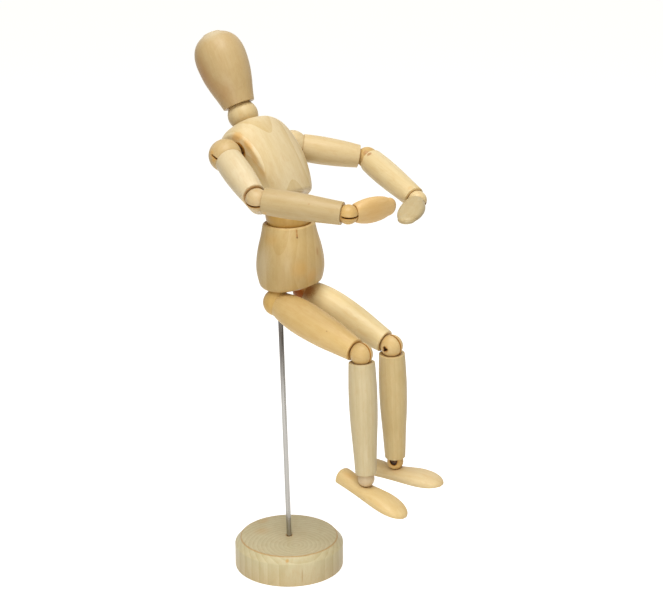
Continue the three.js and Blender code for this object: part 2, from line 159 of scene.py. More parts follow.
def ballFrame(jointName):
    turn, bend = joints[jointName + "_turn"], joints[jointName + "_bend"]
    z = (Vector(turn["axis"]) * turnWay(jointName)).normalized()
    x = (Vector(bend["axis"]) * -bendWay(jointName)).normalized()
    y = z.cross(x)
    return Matrix.Translation(Vector(turn["pos_m"])) @ Matrix((x, y, z)).transposed().to_4x4()


def limbFrame(jointName, roll=0):
    bend = Matrix.Rotation(-bendWay(jointName) * math.radians(restBends[jointName]), 4, "X")
    return ballFrame(jointName) @ bend @ Matrix.Rotation(-math.radians(roll), 4, "Z")


def standingFrame(origin, up, right):
    z = up.normalized()
    x = (right - z * right.dot(z)).normalized()
    return Matrix.Translation(origin) @ Matrix((x, z.cross(x), z)).transposed().to_4x4()


def posOf(jointName):
    return Vector(joints[jointName]["pos_m"])


# Mesh helpers. A shell is a list of rings, and a ring is a list of (x, y, z, stain and shade); a ring of one
# point closes the shell. The stain and shade says how dark and brown the wood is painted there, from 0 to 1:
# dirt together with painted shade in the cups, kerfs, holes and gaps between parts.


def spanRings(bm, low, high):
    count = max(len(low), len(high))
    for i in range(count):
        j = (i + 1) % count
        if len(low) == 1:
            bm.faces.new((low[0], high[j], high[i]))
        elif len(high) == 1:
            bm.faces.new((low[i], low[j], high[0]))
        else:
            bm.faces.new((low[i], low[j], high[j], high[i]))


def makePiece(name, shells, place, material, replaced, grainAlong="Z"):
    bm = bmesh.new()
    stainAndShadeLayer = bm.verts.layers.float.new("stainAndShade")
    grainLayer = bm.verts.layers.float_vector.new("grain")
    for rings in shells:
        rows = []
        for points in rings:
            row = []
            for x, y, z, stainAndShade in points:
                vert = bm.verts.new(place @ (Vector((x, y, z)) * mm))
                vert[stainAndShadeLayer] = stainAndShade
                vert[grainLayer] = (x, z, y) if grainAlong == "Y" else (x, y, z)
                row.append(vert)
            rows.append(row)
        for low, high in zip(rows, rows[1:]):
            spanRings(bm, low, high)
    bmesh.ops.remove_doubles(bm, verts=bm.verts, dist=2e-6)
    bmesh.ops.dissolve_degenerate(bm, edges=bm.edges, dist=1e-7)
    bmesh.ops.recalc_face_normals(bm, faces=bm.faces)
    mesh = bpy.data.meshes.new(name)
    bm.to_mesh(mesh)
    bm.free()
    mesh.shade_smooth()
    mesh.set_sharp_from_angle(angle=math.radians(50))
    mesh.materials.append(material)
    piece = bpy.data.objects.new(name, mesh)
    bpy.context.scene.collection.objects.link(piece)
    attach(piece, bodyOfNode[replaced])
    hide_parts(replaced)


def between(a, b, share):
    return a + (b - a) * share


def smoothLine(points, steps):
    # a curve through the points, in as many values as each point has
    line = []
    for i in range(len(points) - 1):
        p0, p1, p2 = points[max(i - 1, 0)], points[i], points[i + 1]
        p3 = points[min(i + 2, len(points) - 1)]
        for k in range(steps):
            t = k / steps
            values = []
            for a, b, c, d in zip(p0, p1, p2, p3):
                square, cube = 2 * a - 5 * b + 4 * c - d, 3 * b - a - 3 * c + d
                values.append(0.5 * (2 * b + (c - a) * t + square * t * t + cube * t ** 3))
            line.append(tuple(values))
    line.append(tuple(points[-1]))
    return line


def roundedCorner(before, corner, after, size, steps=4):
    # a short curve in place of a corner of a profile
    a, p, b = Vector(before), Vector(corner), Vector(after)
    inward, outward = a - p, b - p
    start = p + inward.normalized() * min(size, inward.length * 0.45)
    end = p + outward.normalized() * min(size, outward.length * 0.45)
    curve = []
    for k in range(steps + 1):
        t = k / steps
        curve.append(tuple(start * (1 - t) ** 2 + p * 2 * t * (1 - t) + end * t * t))
    return curve


def softMin(a, b, width):
    h = max(width - abs(a - b), 0) / width
    return min(a, b) - h * h * width / 4


def turnedRings(profile, count):
    # from (radius, height, stain and shade) rows
    rings = []
    for radius, height, stainAndShade in profile:
        if radius < 1e-6:
            rings.append([(0, 0, height, stainAndShade)])
            continue
        turns = [2 * math.pi * i / count for i in range(count)]
        rings.append([(radius * math.cos(a), radius * math.sin(a), height, stainAndShade) for a in turns])
    return rings


# The seat under a ball: how brown and dark it is from the bore out to the flat, dirt together with painted shade
# in the cup, the width of the brown edge on the flat, the slope of the flared mouth, and the sharp rim where a
# cup takes in the whole end of a limb
seatStainAndShade = {"bore": 1, "lip": 0.32, "mouth": 0.3, "rim": 0.22, "face": 0.1}
seatShape = {"steps": 9, "faceWidth": 0.3, "slope": 0.2, "leastFlat": 0.5, "rimInset": 0.22, "rimRound": 0.1}


def seatProfile(kind, seat, flare, boreRadius=0, boreDepth=0):
    # the cup under a ball, from the axis out to the rim of its mouth: (radius, height, stain and shade)
    cup = kind["radius"] + cupGap
    lip = seat + flare * seatShape["slope"]
    first = math.asin(boreRadius / cup)
    last = math.asin(math.sqrt(cup ** 2 - lip ** 2) / cup)
    line = []
    if boreRadius:
        line = [(0, -boreDepth, 1), (boreRadius, -boreDepth, 1)]
    for k in range(seatShape["steps"] + 1):
        share = k / seatShape["steps"]
        angle = between(first, last, share)
        # darker deeper in the cup, towards the bore: painted shade together with dirt
        stainAndShade = between(seatStainAndShade["bore"], seatStainAndShade["lip"], share ** 4)
        line.append((cup * math.sin(angle), -cup * math.cos(angle), stainAndShade))
    rim = cup * math.sin(last) + flare
    if flare:
        line.append((line[-1][0] + 0.03, line[-1][1] + 0.02, seatStainAndShade["mouth"]))
        line.append((rim - 0.05, -seat - 0.04, seatStainAndShade["rim"]))
    line.append((rim, -seat, seatStainAndShade["rim"]))
    return line


def limbEnd(kind, seat, flare, outerRadius, nextPoint, boreRadius=0, boreDepth=0, edge=0.45):
    # seat, flat rim and outer corner of a limb's end: (radius, height, stain and shade) rows
    line = seatProfile(kind, seat, flare, boreRadius, boreDepth)
    rim = line[-1][0]
    corner = (outerRadius, -seat)
    if rim > outerRadius - seatShape["leastFlat"]:
        # the cup breaks through the flat and leaves a thin sharp rim
        rimRadius, soft = outerRadius - seatShape["rimInset"], seatShape["rimRound"]
        height = -math.sqrt((kind["radius"] + cupGap) ** 2 - rimRadius ** 2)
        line = [row for row in line if row[0] < rimRadius - soft] + [(rimRadius, height, seatStainAndShade["rim"])]
        return line + [(outerRadius - soft, height - soft * 0.2, 0), (outerRadius, height - soft * 1.4, 0)]
    line.append((rim + seatShape["faceWidth"] * 0.4, -seat, seatStainAndShade["face"]))
    line.append((rim + seatShape["faceWidth"], -seat, 0))
    return line + [(r, z, 0) for r, z in roundedCorner((rim, -seat), corner, nextPoint, edge)]


def limbRings(size, start, end):
    # a round limb between the ball above and the ball at its far end
    length = size["length"]
    top, bottom = -start["seatAfter"], end["seatBefore"] - length
    body = [(size["radius"] * r, between(top, bottom, s)) for s, r in size["outline"]]
    curve = smoothLine(body, 8)
    upper = limbEnd(start, start["seatAfter"], start["flareAfter"], curve[0][0], curve[1])
    mirrored = [(r, -length - z) for r, z in reversed(curve)]
    lower = limbEnd(
        end, end["seatBefore"], end["flareBefore"], mirrored[0][0], mirrored[1],
        boreRadius=end["stemRadius"] + cupGap, boreDepth=end["radius"] + end["stemReach"],
    )
    highest, lowest = upper[-1][1], -length - lower[-1][1]
    middle = [(r, z, 0) for r, z in curve if lowest + 0.05 < z < highest - 0.05]
    profile = upper + middle + [(r, -length - z, stainAndShade) for r, z, stainAndShade in reversed(lower)]
    return turnedRings(profile, size["sides"])


# Materials. Groups and materials read the piece's own place, in millimetres, with the grain along Z.

mixA, mixB, mixColour = 6, 7, 2    # sockets of a colour Mix node


def addNode(tree, kind, values=None, **settings):
    # values: input name or number -> a number, a colour or another node's output
    node = tree.nodes.new("ShaderNode" + kind)
    for name, value in settings.items():
        setattr(node, name, value)
    for key, value in (values or {}).items():
        if isinstance(value, bpy.types.NodeSocket):
            tree.links.new(value, node.inputs[key])
        else:
            node.inputs[key].default_value = value
    return node


def mathNode(tree, operation, a, b=0.0, clamp=False):
    return addNode(tree, "Math", {0: a, 1: b}, operation=operation, use_clamp=clamp).outputs[0]


def mixNode(tree, factor, a, b):
    return addNode(tree, "Mix", {0: factor, mixA: a, mixB: b}, data_type="RGBA").outputs[mixColour]


def rangeNode(tree, value, low, high, toLow=0.0, toHigh=1.0, smooth=False):
    values = {"Value": value, "From Min": low, "From Max": high, "To Min": toLow, "To Max": toHigh}
    kind = "SMOOTHSTEP" if smooth else "LINEAR"
    return addNode(tree, "MapRange", values, interpolation_type=kind).outputs["Result"]


def noiseNode(tree, place, scale, detail, distortion=0.0):
    # noise stretched by a scale for each axis
    stretched = addNode(tree, "VectorMath", {0: place, 1: scale}, operation="MULTIPLY").outputs[0]
    values = {"Vector": stretched, "Scale": 1.0, "Detail": detail, "Roughness": 0.6, "Distortion": distortion}
    return addNode(tree, "TexNoise", values).outputs["Fac"]


def bumpNode(tree, height, look):
    values = {"Height": height, "Strength": look["bumpStrength"], "Distance": look["bumpDistance"]}
    return addNode(tree, "Bump", values).outputs["Normal"]


def makeGroup(name, inputs, outputs):
    tree = bpy.data.node_groups.new(name, "ShaderNodeTree")
    for label, (kind, value) in inputs.items():
        socket = tree.interface.new_socket(name=label, in_out="INPUT", socket_type="NodeSocket" + kind)
        if value is not None:
            socket.default_value = value
    for label, kind in outputs.items():
        tree.interface.new_socket(name=label, in_out="OUTPUT", socket_type="NodeSocket" + kind)
    return tree, tree.nodes.new("NodeGroupInput").outputs, tree.nodes.new("NodeGroupOutput").inputs


def placeGroup(tree, group, values):
    node = addNode(tree, "Group", node_tree=group)
    for key, value in values.items():
        if isinstance(value, bpy.types.NodeSocket):
            tree.links.new(value, node.inputs[key])
        else:
            node.inputs[key].default_value = value
    return node.outputs


def makeGrainGroup():
    # fine streaks, broad streaks, growth rings round a pith, soft patches and small flecks
    tree, given, result = makeGroup("woodGrain", {
        "Place": ("Vector", None), "Light": ("Color", None), "Dark": ("Color", None),
        "Fleck Tint": ("Color", None), "Pith": ("Vector", None), "Ring Scale": ("Float", 0.14),
        "Ring Stretch": ("Float", 0.12), "Streaks": ("Float", 0.5), "Rings": ("Float", 0.3),
        "Patches": ("Float", 0.4), "Flecks": ("Float", 0.3),
    }, {"Color": "Color", "Height": "Float", "Roughness": "Float"})
    place = given["Place"]
    fine = noiseNode(tree, place, (2.4, 2.4, 0.09), 4.0)
    broad = noiseNode(tree, place, (0.55, 0.55, 0.02), 3.0, 0.4)
    patches = noiseNode(tree, place, (0.11, 0.11, 0.045), 2.0, 0.6)
    fleckNoise = noiseNode(tree, place, (2.1, 2.1, 0.55), 2.0)
    ringPlace = addNode(tree, "VectorMath", {0: place, 1: given["Pith"]}, operation="SUBTRACT").outputs[0]
    stretch = addNode(tree, "CombineXYZ", {"X": 1.0, "Y": 1.0, "Z": given["Ring Stretch"]}).outputs[0]
    ringPlace = addNode(tree, "VectorMath", {0: ringPlace, 1: stretch}, operation="MULTIPLY").outputs[0]
    rings = addNode(tree, "TexWave", {
        "Vector": ringPlace, "Scale": given["Ring Scale"], "Distortion": 2.2, "Detail": 2.0,
        "Detail Scale": 0.25, "Detail Roughness": 0.6,
    }, wave_type="RINGS", rings_direction="Z", wave_profile="SAW").outputs["Fac"]
    tone = 0.5
    for part, strength in ((fine, "Streaks"), (broad, "Streaks"), (rings, "Rings"), (patches, "Patches")):
        offset = mathNode(tree, "SUBTRACT", part, 0.5)
        tone = mathNode(tree, "ADD", mathNode(tree, "MULTIPLY", offset, given[strength]), tone)
    tone = rangeNode(tree, tone, 0.2, 0.8)
    fleck = rangeNode(tree, fleckNoise, 0.63, 0.74, smooth=True)
    colour = mixNode(tree, tone, given["Light"], given["Dark"])
    mottle = rangeNode(tree, noiseNode(tree, place, (0.42, 0.42, 0.16), 4.0, 0.8), 0.48, 0.75, 0, 0.5)
    colour = mixNode(tree, mathNode(tree, "MULTIPLY", mottle, given["Patches"]), colour, given["Fleck Tint"])
    colour = mixNode(tree, mathNode(tree, "MULTIPLY", fleck, given["Flecks"]), colour, given["Fleck Tint"])
    grooves, dents = mathNode(tree, "MULTIPLY", fine, -0.6), mathNode(tree, "MULTIPLY", fleck, 0.5)
    height = mathNode(tree, "SUBTRACT", grooves, dents)
    tree.links.new(colour, result["Color"])
    tree.links.new(mathNode(tree, "ADD", height, mathNode(tree, "MULTIPLY", rings, -0.15)), result["Height"])
    tree.links.new(rangeNode(tree, tone, 0, 1, 0.36, 0.5), result["Roughness"])
    return tree


def makeStainAndShadeGroup():
    # oil and dust that gather in the seats and kerfs, together with painted shade in these hollows and gaps:
    # orange-brown first, then nearly black
    tree, given, result = makeGroup("seatStainAndShade", {
        "Color": ("Color", None), "Place": ("Vector", None), "StainAndShade": ("Float", 0.0),
        "Brown": ("Color", (0.50, 0.225, 0.035, 1)), "Black": ("Color", (0.06, 0.024, 0.008, 1)),
    }, {"Color": "Color", "Mask": "Float"})
    broken = rangeNode(tree, noiseNode(tree, given["Place"], (0.8, 0.8, 0.8), 3.0), 0.3, 0.7, 0.75, 1.2)
    amount = mathNode(tree, "MULTIPLY", given["StainAndShade"], broken, clamp=True)
    brown = rangeNode(tree, amount, 0.0, 0.45)
    black = rangeNode(tree, amount, 0.5, 0.95)
    colour = mixNode(tree, black, mixNode(tree, brown, given["Color"], given["Brown"]), given["Black"])
    tree.links.new(colour, result["Color"])
    tree.links.new(amount, result["Mask"])
    return tree


def makeMarkGroup():
    # one knot, crack, stain or hole, or one patch of painted light or shade, with ragged edges
    tree, given, result = makeGroup("woodMark", {
        "Color": ("Color", None), "Place": ("Vector", None), "Centre": ("Vector", None),
        "Size": ("Vector", (1, 1, 1)), "Tint": ("Color", None), "Strength": ("Float", 0.5),
        "Softness": ("Float", 0.5), "Ragged": ("Float", 0.6),
    }, {"Color": "Color", "Mask": "Float"})
    place = given["Place"]
    away = addNode(tree, "VectorMath", {0: place, 1: given["Centre"]}, operation="SUBTRACT").outputs[0]
    away = addNode(tree, "VectorMath", {0: away, 1: given["Size"]}, operation="DIVIDE").outputs[0]
    distance = addNode(tree, "VectorMath", {0: away}, operation="LENGTH").outputs["Value"]
    noise = mathNode(tree, "SUBTRACT", noiseNode(tree, place, (1.3, 1.3, 1.3), 3.0), 0.5)
    distance = mathNode(tree, "ADD", distance, mathNode(tree, "MULTIPLY", noise, given["Ragged"]))
    inner = mathNode(tree, "SUBTRACT", 1.0, given["Softness"])
    mask = addNode(tree, "MapRange", {
        "Value": distance, "From Min": inner, "From Max": 1.0, "To Min": given["Strength"], "To Max": 0.0,
    }, interpolation_type="SMOOTHSTEP").outputs["Result"]
    tree.links.new(mixNode(tree, mask, given["Color"], given["Tint"]), result["Color"])
    tree.links.new(mask, result["Mask"])
    return tree


grainGroup, stainAndShadeGroup, markGroup = makeGrainGroup(), makeStainAndShadeGroup(), makeMarkGroup()

woodLooks = {
    "paleWood": {
        "slot": "pale_wood",
        "light": (0.80, 0.615, 0.335), "dark": (0.66, 0.455, 0.19), "fleck": (0.60, 0.33, 0.11),
        "streaks": 0.3, "rings": 0.08, "patches": 0.5, "flecks": 0.3, "ringScale": 0.11,
    },
    "warmWood": {
        "slot": "warm_wood",
        "light": (0.80, 0.56, 0.25), "dark": (0.66, 0.41, 0.135), "fleck": (0.62, 0.31, 0.08),
        "streaks": 0.3, "rings": 0.08, "patches": 0.5, "flecks": 0.25, "ringScale": 0.09,
    },
    "greyWood": {
        "slot": "grey_wood",
        "light": (0.67, 0.55, 0.325), "dark": (0.53, 0.41, 0.20), "fleck": (0.55, 0.34, 0.13),
        "streaks": 0.3, "rings": 0.12, "patches": 0.5, "flecks": 0.3, "ringScale": 0.12,
    },
}
woodFinish = {
    "specular": 0.25, "coatWeight": 0.08, "coatRoughness": 0.3, "bumpStrength": 0.1, "bumpDistance": 0.0001,
}

# How much redder, greener or bluer than its look each piece is: partly its own wood, partly painted light and
# shade, paler and whiter where a piece lies in the light, darker and browner where it lies in shade
pieceTintsAndLight = {
    "head": (0.7, 0.69, 0.67), "neck_ball": (0.84, 0.88, 0.92), "chest": (0.94, 1.02, 1.16),
    "waist_ball": (0.64, 0.53, 0.28), "pelvis": (0.77, 0.75, 0.65), "base_disc": (1.09, 1.2, 1.33),
    "right_shoulder_ball": (0.8, 0.79, 0.76), "left_shoulder_ball": (0.97, 1.05, 1.2),
    "right_upper_arm": (0.96, 1.08, 1.36), "left_upper_arm": (0.95, 1, 1.08),
    "right_elbow_ball": (0.82, 0.83, 0.88), "left_elbow_ball": (0.87, 0.82, 0.67),
    "right_forearm": (0.7, 0.71, 0.71), "left_forearm": (1.01, 1.1, 1.22),
    "right_wrist_ball": (0.81, 0.72, 0.53), "left_wrist_ball": (1.03, 1.1, 1.2),
    "right_hand": (0.94, 0.87, 0.77), "left_hand": (0.7, 0.76, 0.83),
    "right_hip_ball": (0.9, 0.8, 0.53), "left_hip_ball": (0.9, 0.8, 0.53),
    "right_thigh": (0.98, 1.03, 1.07), "left_thigh": (1.12, 1.36, 1.85),
    "right_knee_ball": (0.87, 0.91, 0.95), "left_knee_ball": (0.97, 1.06, 1.22),
    "right_shin": (0.99, 1.02, 1.09), "left_shin": (1.05, 1.01, 0.9),
    "right_ankle_ball": (1.03, 1, 1.13), "left_ankle_ball": (1.07, 0.88, 0.6),
    "right_foot": (0.98, 1.09, 1.28), "left_foot": (1.01, 1.18, 1.6),
}

# Knots, cracks and stains, and patches of painted light and shade where noted: tint, centre and size in the
# piece's own place, strength, softness
markTints = {
    "pale": (0.78, 0.70, 0.50), "orange": (0.64, 0.36, 0.09), "brown": (0.40, 0.17, 0.045),
    # the red-brown first colour on the next line is painted deep shade
    "deepShade": (0.46, 0.125, 0.013), "dark": (0.14, 0.05, 0.015),
}
pieceMarks = {
    "pelvis": [
        # The pale patch is a painted highlight and the orange patches are painted shade, most of them low on the
        # pelvis
        ("pale", (-19.3, 4.9, 24.7), (6, 10, 18), 0.35, 0.9),
        ("orange", (-10.6, -16, 21.4), (10, 6, 8), 0.45, 0.9),
        ("orange", (-2.2, -17.8, 15.2), (7, 5, 7), 0.55, 0.9),
        ("orange", (-16.3, 0.2, 38), (5, 7, 5), 0.25, 0.9),
        ("brown", (4.2, -17, 28.7), (1.5, 2, 4), 0.5, 0.8),
        ("brown", (-8.5, -12.5, 43), (0.7, 0.7, 2), 0.75, 0.6),
        ("brown", (-8.8, -13, 40.8), (0.7, 0.7, 2), 0.75, 0.6),
        ("dark", (-8.9, -13.1, 39.6), (0.8, 0.8, 0.8), 0.7, 0.6),
    ],
    "chest": [
        # painted shade on the flat side, along the crease below the shoulder ball, strongest at its top
        ("orange", (-21.6, -7.6, 48.2), (2.5, 7, 4.5), 0.75, 0.8),
        ("orange", (-21, -11, 40.6), (2.5, 4, 7), 0.7, 0.8),
        ("orange", (-20.4, -10.6, 32.5), (2.5, 3, 7), 0.5, 0.8),
        ("orange", (-19.6, -10.9, 23.4), (2.5, 3, 5), 0.4, 0.8),
    ],
    "head": [
        # The brown patches are painted shade on the side and the lower part of the head, and the pale patch is a
        # painted highlight on its crown
        ("brown", (-14.6, 0.5, -28), (8, 11, 20), 0.55, 1),
        ("brown", (-10.9, 6, -14), (9, 10, 13), 0.35, 1),
        ("pale", (-4, 8, -51), (12, 12, 9), 0.5, 1),
    ],
    "base_disc": [
        ("orange", (-25, -18.9, 16.5), (1.6, 1.4, 1.9), 0.75, 0.7),
        ("brown", (-19.9, -26.3, 7), (0.5, 0.5, 7), 0.45, 0.8),
        ("orange", (-5.8, 16.8, 18.5), (9, 7, 3), 0.35, 1),
        ("orange", (6, 25, 18.5), (8, 4, 3), 0.4, 1),
    ],
    "right_shoulder_ball": [
        ("orange", (-0.7, 3.1, -8.8), (3, 3, 3), 0.85, 0.9),
        ("orange", (2, -0.1, -9.2), (2.4, 2.4, 2.4), 0.8, 0.9),
    ],
    "right_forearm": [
        ("brown", (-6.2, 3.9, -31.2), (0.6, 0.6, 0.7), 0.5, 0.8),
        ("orange", (2.4, 7.1, -6.7), (1.4, 1.4, 1.6), 0.7, 0.8),
    ],
    # painted shade on the lower part of the hand
    "right_hand": [("orange", (-0.5, 3.9, -14.4), (8, 3, 10), 0.3, 1)],
    "right_thigh": [("brown", (-6.9, -5.5, -43.3), (0.6, 0.6, 0.8), 0.6, 0.8)],
    # painted shade at the heel
    "right_foot": [("orange", (-1.4, -2.6, 10.5), (6, 3, 6), 0.35, 1)],
    # painted deep shade on the far hip ball, where it lies in shadow
    "left_hip_ball": [("deepShade", (-8, 0.3, 0.6), (5, 6, 5), 0.97, 0.5)],
    # painted deep shade at the root of the far thigh, next to the hip ball
    "left_thigh": [("brown", (-6, -4, -5), (7, 8, 8), 0.97, 0.8)],
    "left_forearm": [
        ("brown", (6.2, -4.1, -6.1), (2.2, 2, 1.6), 0.75, 0.6),
        ("brown", (1.7, -7.1, -4.7), (2.4, 1.5, 0.5), 0.6, 0.7),
        ("orange", (5.7, -3.1, -46.8), (3, 3, 2.5), 0.35, 0.9),
    ],
    "left_elbow_ball": [("brown", (4.9, -3.6, 1.8), (2.6, 2.2, 2.2), 0.6, 0.7)],
    "left_wrist_ball": [("brown", (0.6, 0.1, -5.5), (0.8, 0.8, 0.8), 0.8, 0.6)],
}

# Growth rings that show clearly: the pith in the piece's own place, and how fast they close along the grain
pieceRings = {
    "chest": {"pith": (-4, -6, 54), "strength": 0.34, "scale": 0.055, "stretch": 0.5},
    "pelvis": {"pith": (-13, -5, 25), "strength": 0.25, "scale": 0.065, "stretch": 0.5},
    "base_disc": {"pith": (-8.3, -11.9, 0), "strength": 0.32, "scale": 0.12, "stretch": 0.12},
}
# Each other piece has its pith further round, and all have their own part of the noise
otherPiths = {"turn": 2.4, "away": 23, "stretch": 0.12}
seedStep = Vector((47.3, 31.9, 83.1))
madeWoods = []


def tinted(colour, tint):
    return tuple(c * t for c, t in zip(colour, tint)) + (1,)


def makeWood(node, lookName):
    look = woodLooks[lookName]
    seed = seedStep * len(madeWoods)
    tint = pieceTintsAndLight.get(node, (1, 1, 1))
    material = bpy.data.materials.new(node + "_" + lookName)
    madeWoods.append(material)
    material.use_nodes = True
    tree = material.node_tree
    shader = tree.nodes["Principled BSDF"]
    ownPlace = addNode(tree, "Attribute", attribute_name="grain").outputs["Vector"]
    place = addNode(tree, "VectorMath", {0: ownPlace, 1: seed}, operation="ADD").outputs[0]
    angle, away = otherPiths["turn"] * len(madeWoods), otherPiths["away"]
    rings = pieceRings.get(node, {
        "pith": (away * math.cos(angle), away * math.sin(angle), 0), "strength": look["rings"],
        "scale": look["ringScale"], "stretch": otherPiths["stretch"],
    })
    grain = placeGroup(tree, grainGroup, {
        "Place": place, "Light": tinted(look["light"], tint), "Dark": tinted(look["dark"], tint),
        "Fleck Tint": tinted(look["fleck"], tint), "Pith": Vector(rings["pith"]) + seed,
        "Ring Scale": rings["scale"], "Ring Stretch": rings["stretch"], "Rings": rings["strength"],
        "Streaks": look["streaks"], "Patches": look["patches"], "Flecks": look["flecks"],
    })
    colour = grain["Color"]
    for tintName, centre, extent, strength, softness in pieceMarks.get(node, ()):
        colour = placeGroup(tree, markGroup, {
            "Color": colour, "Place": ownPlace, "Centre": centre, "Size": extent,
            "Tint": (*markTints[tintName], 1), "Strength": strength, "Softness": softness,
        })["Color"]
    stainAndShade = addNode(tree, "Attribute", attribute_name="stainAndShade").outputs["Fac"]
    colour = placeGroup(tree, stainAndShadeGroup, {"Color": colour, "Place": place, "StainAndShade": stainAndShade})["Color"]
    tree.links.new(colour, shader.inputs["Base Color"])
    tree.links.new(grain["Roughness"], shader.inputs["Roughness"])
    tree.links.new(bumpNode(tree, grain["Height"], woodFinish), shader.inputs["Normal"])
    shader.inputs["Specular IOR Level"].default_value = woodFinish["specular"]
    shader.inputs["Coat Weight"].default_value = woodFinish["coatWeight"]
    shader.inputs["Coat Roughness"].default_value = woodFinish["coatRoughness"]
    return material


steelLook = {
    "light": (0.37, 0.36, 0.34, 1), "dark": (0.05, 0.04, 0.032, 1), "darkReflectionFrom": -75, "darkReflectionTo": -25,
    "roughness": (0.16, 0.3), "bumpStrength": 0.05, "bumpDistance": 0.0001,
}


def makeSteel(look):
    # drawn along its length, and darker towards the end under the wood: a painted dark reflection of the figure's
    # underside
    material = bpy.data.materials.new("polishedSteel")
    material.use_nodes = True
    tree = material.node_tree
    shader = tree.nodes["Principled BSDF"]
    place = addNode(tree, "Attribute", attribute_name="grain").outputs["Vector"]
    drawn = noiseNode(tree, place, (2.2, 2.2, 0.03), 3.0)
    high = addNode(tree, "SeparateXYZ", {0: place}).outputs["Z"]
    # painted dark reflection towards the end under the wood, broken up by the drawn lines
    darkReflection = rangeNode(tree, high, look["darkReflectionFrom"], look["darkReflectionTo"], smooth=True)
    darkReflection = mathNode(tree, "MULTIPLY", darkReflection, rangeNode(tree, drawn, 0.35, 0.6, 0.45, 1))
    streak = rangeNode(tree, drawn, 0.5, 0.7, 0, 0.15)
    colour = mixNode(tree, mathNode(tree, "MAXIMUM", darkReflection, streak), look["light"], look["dark"])
    tree.links.new(colour, shader.inputs["Base Color"])
    tree.links.new(rangeNode(tree, drawn, 0.3, 0.7, *look["roughness"]), shader.inputs["Roughness"])
    tree.links.new(bumpNode(tree, drawn, look), shader.inputs["Normal"])
    shader.inputs["Metallic"].default_value = 1
    return material


steel = makeSteel(steelLook)
print("materials ready")

# Balls

# The kerf and its edges and lips are painted brown to nearly black: dirt together with painted shade in the slot
ballDetail = {
    "kerfStep": 5, "rings": 15, "soften": 0.14,
    "plugStain": 0.05, "seamStain": 0.1, "edgeStainAndShade": 0.36, "lipStainAndShade": 0.48, "kerfStainAndShade": {"knee": 0.5},
}

# Pin holes without a plug, on the side of -X, and how far such a ball is turned and tilted in its seat
openPins = {
    "left_knee": {"radius": 1.4, "depth": 2.2, "ragged": 0.3, "turn": 0, "tilt": 0},
    "left_ankle": {"radius": 2.2, "depth": 1.6, "ragged": 0.05, "turn": 20, "tilt": 22},
}


def pinEnd(radius, pin, hole):
    # from the pole out to the ball's own surface: (along the pin, away from it, stain)
    if not hole:
        plug, seam, stainAndShade = pin * 0.9, 0.06, ballDetail["plugStain"]
        rim, crown = math.sqrt(radius ** 2 - plug ** 2), math.sqrt(radius ** 2 - (plug * 0.6) ** 2)
        return [
            (radius, 0, stainAndShade), (crown, plug * 0.6, stainAndShade), (rim, plug - seam, stainAndShade),
            (rim - seam / 2, plug, ballDetail["seamStain"]), (rim, plug + seam, 0.02),
        ], plug + 0.3
    # an open hole is painted nearly black inside and brown round its mouth: painted shade in the hole
    mouth = math.sqrt(radius ** 2 - hole["radius"] ** 2)
    floor = mouth - hole["depth"]
    return [
        (floor, 0, 1), (floor, hole["radius"] * 0.8, 1), (mouth - 0.35, hole["radius"] * 0.92, 1),
        (mouth - 0.1, hole["radius"], 0.7), (mouth, hole["radius"] + 0.15, 0.42),
    ], hole["radius"] + 0.5


def ballRings(kind, way, openPin):
    radius, halfKerf, soften = kind["radius"], kind["kerfWidth"] / 2, ballDetail["soften"]
    start, end = kind["kerf"]
    columns = []                # (angle from the limb's straight line, in the kerf or not)
    for span, inKerf in (((start, end), True), ((end, start + 360), False)):
        count = max(2, round((span[1] - span[0]) / ballDetail["kerfStep"]))
        columns += [(between(span[0], span[1], k / count), inKerf) for k in range(count + 1)]
    places = [(-way * math.sin(math.radians(a)), -math.cos(math.radians(a)), inKerf) for a, inKerf in columns]

    def ring(x, reach, stainAndShade, dip=None):
        points = []
        for y, z, inKerf in places:
            across, away, mark = dip if inKerf and dip else (x, reach, stainAndShade)
            points.append((across, away * y, away * z, mark))
        return points

    def onBall(x):
        return math.sqrt(radius ** 2 - x ** 2)

    def ragged(points, hole):
        if not hole:
            return points
        made = []
        for x, y, z, stainAndShade in points:
            angle = math.atan2(z, y)
            grow = 1 + hole["ragged"] * (math.sin(3 * angle + 1) + 0.5 * math.sin(5 * angle))
            grow = min(grow, 1 + 0.3 / hole["radius"])
            made.append((x, y * grow, z * grow, stainAndShade))
        return made

    deep = ballDetail["kerfStainAndShade"].get(kind["name"], 1)
    halves = []
    for hole in (None, openPin):
        rows, clear = pinEnd(radius, kind["pinRadius"], hole)
        half = [[(rows[0][0], 0, 0, rows[0][2])]] + [ragged(ring(*row), hole) for row in rows[1:]]
        first = math.asin(clear / radius)
        last = math.asin(onBall(halfKerf + soften + 0.35) / radius)
        for k in range(ballDetail["rings"] + 1):
            angle = between(first, last, k / ballDetail["rings"])
            stainAndShade = 0.2 if hole and k == 0 else 0
            half.append(ring(radius * math.cos(angle), radius * math.sin(angle), stainAndShade))
        x = halfKerf + soften
        # the kerf's edge, lip and inside darken in turn: dirt together with painted shade in the slot
        half.append(ring(x, onBall(x), 0, dip=(x, onBall(x), ballDetail["edgeStainAndShade"])))
        x = halfKerf
        half.append(ring(x, onBall(x), 0, dip=(x, onBall(x) - soften, ballDetail["lipStainAndShade"])))
        half.append(ring(x * 0.9, onBall(x * 0.9), 0, dip=(x, onBall(x) - 5 * soften, deep)))
        half.append(ring(x * 0.5, onBall(x * 0.5), 0, dip=(x, kind["eyeRadius"] + 0.3, deep)))
        halves.append(half)
    high, low = halves
    return high + [[(-x, y, z, stainAndShade) for x, y, z, stainAndShade in points] for points in reversed(low)]


